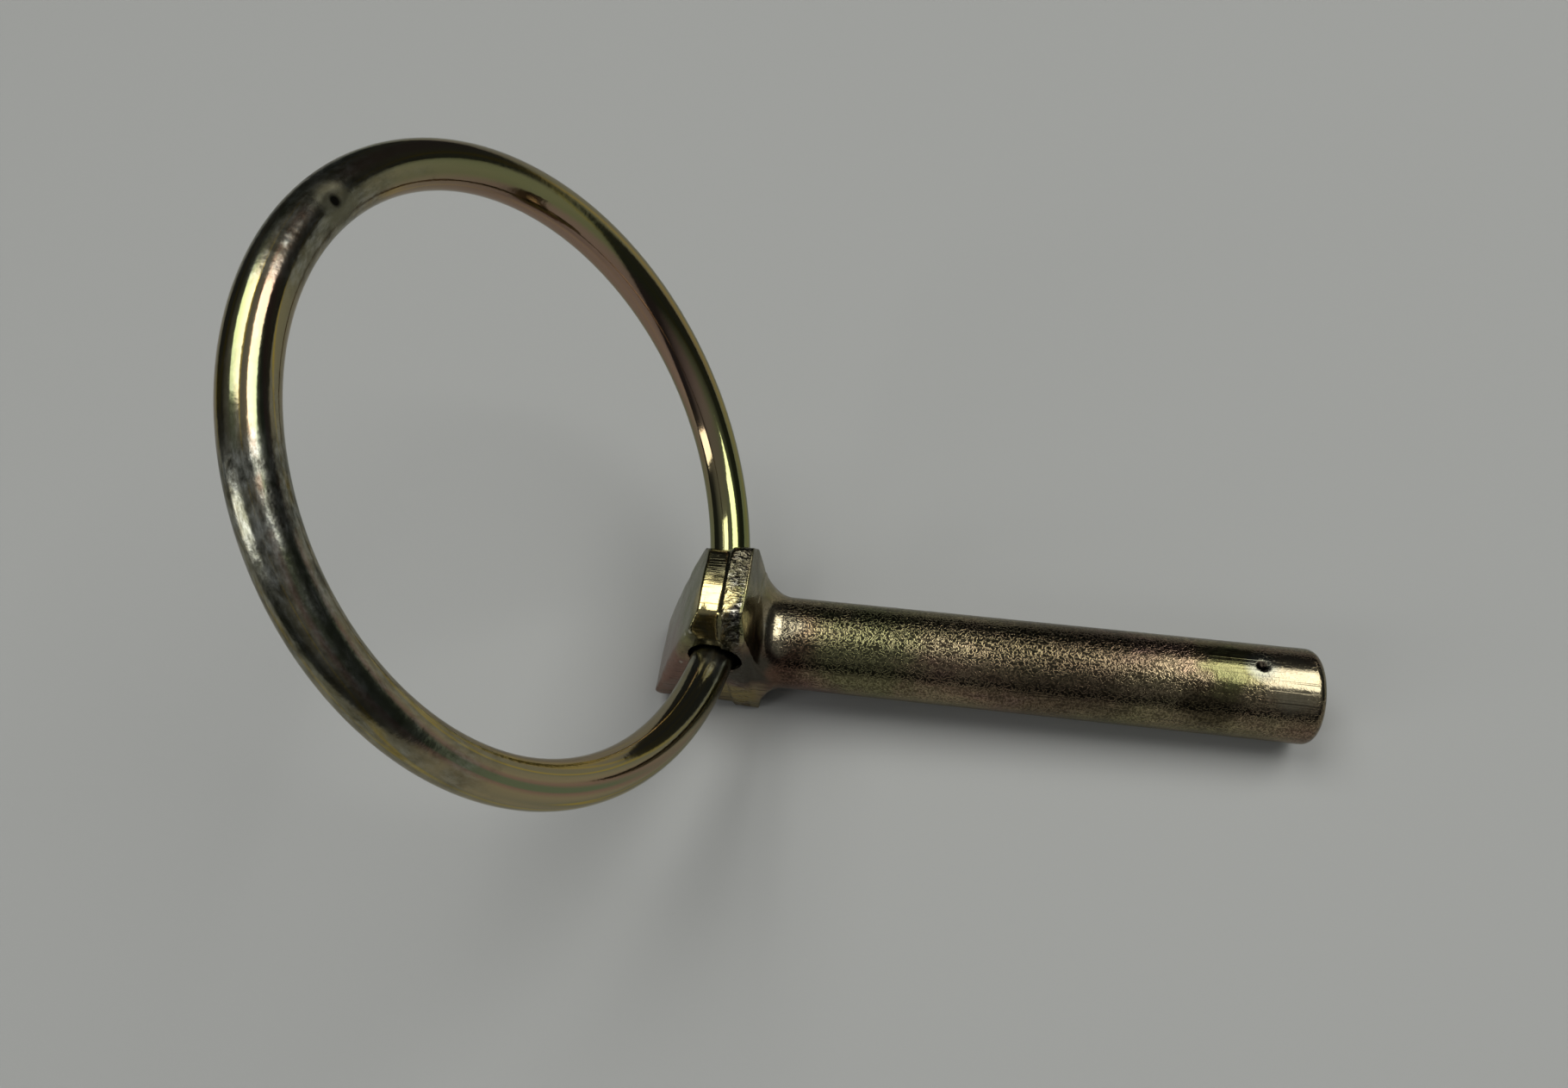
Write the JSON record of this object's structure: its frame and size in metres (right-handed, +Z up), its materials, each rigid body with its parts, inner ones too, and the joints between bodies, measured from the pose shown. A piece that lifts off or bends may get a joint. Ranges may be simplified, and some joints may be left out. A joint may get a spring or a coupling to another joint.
{
  "type": "linch pin",
  "caption": "Linch pin: round shank with a forged, bevelled head and a sprung wire ring that swings in a cross hole and closes over the shank to keep the pin in place.",
  "frame": {"origin": "on the shank's axis at the head's shoulder", "axes": "+X along the shank towards its tip, +Y along the ring's hinge, +Z up with the pin lying on its side"},
  "size_m": [0.0746, 0.0482, 0.0501],
  "materials": {
    "pin_plating": "forged steel, yellow passivated zinc plate, worn",
    "wire_plating": "drawn spring steel wire, yellow passivated zinc plate, smooth"
  },
  "bodies": {
    "pin": {"pin": "pin_plating"},
    "ring": {"ring": "wire_plating"}
  },
  "joints": [
    {"name": "ring_swing", "type": "hinge", "parent": "pin", "child": "ring", "pos_m": [-0.0026, 0, 0.00425], "axis": [0, 1, 0], "range_deg": [-225, 119]}
  ]
}
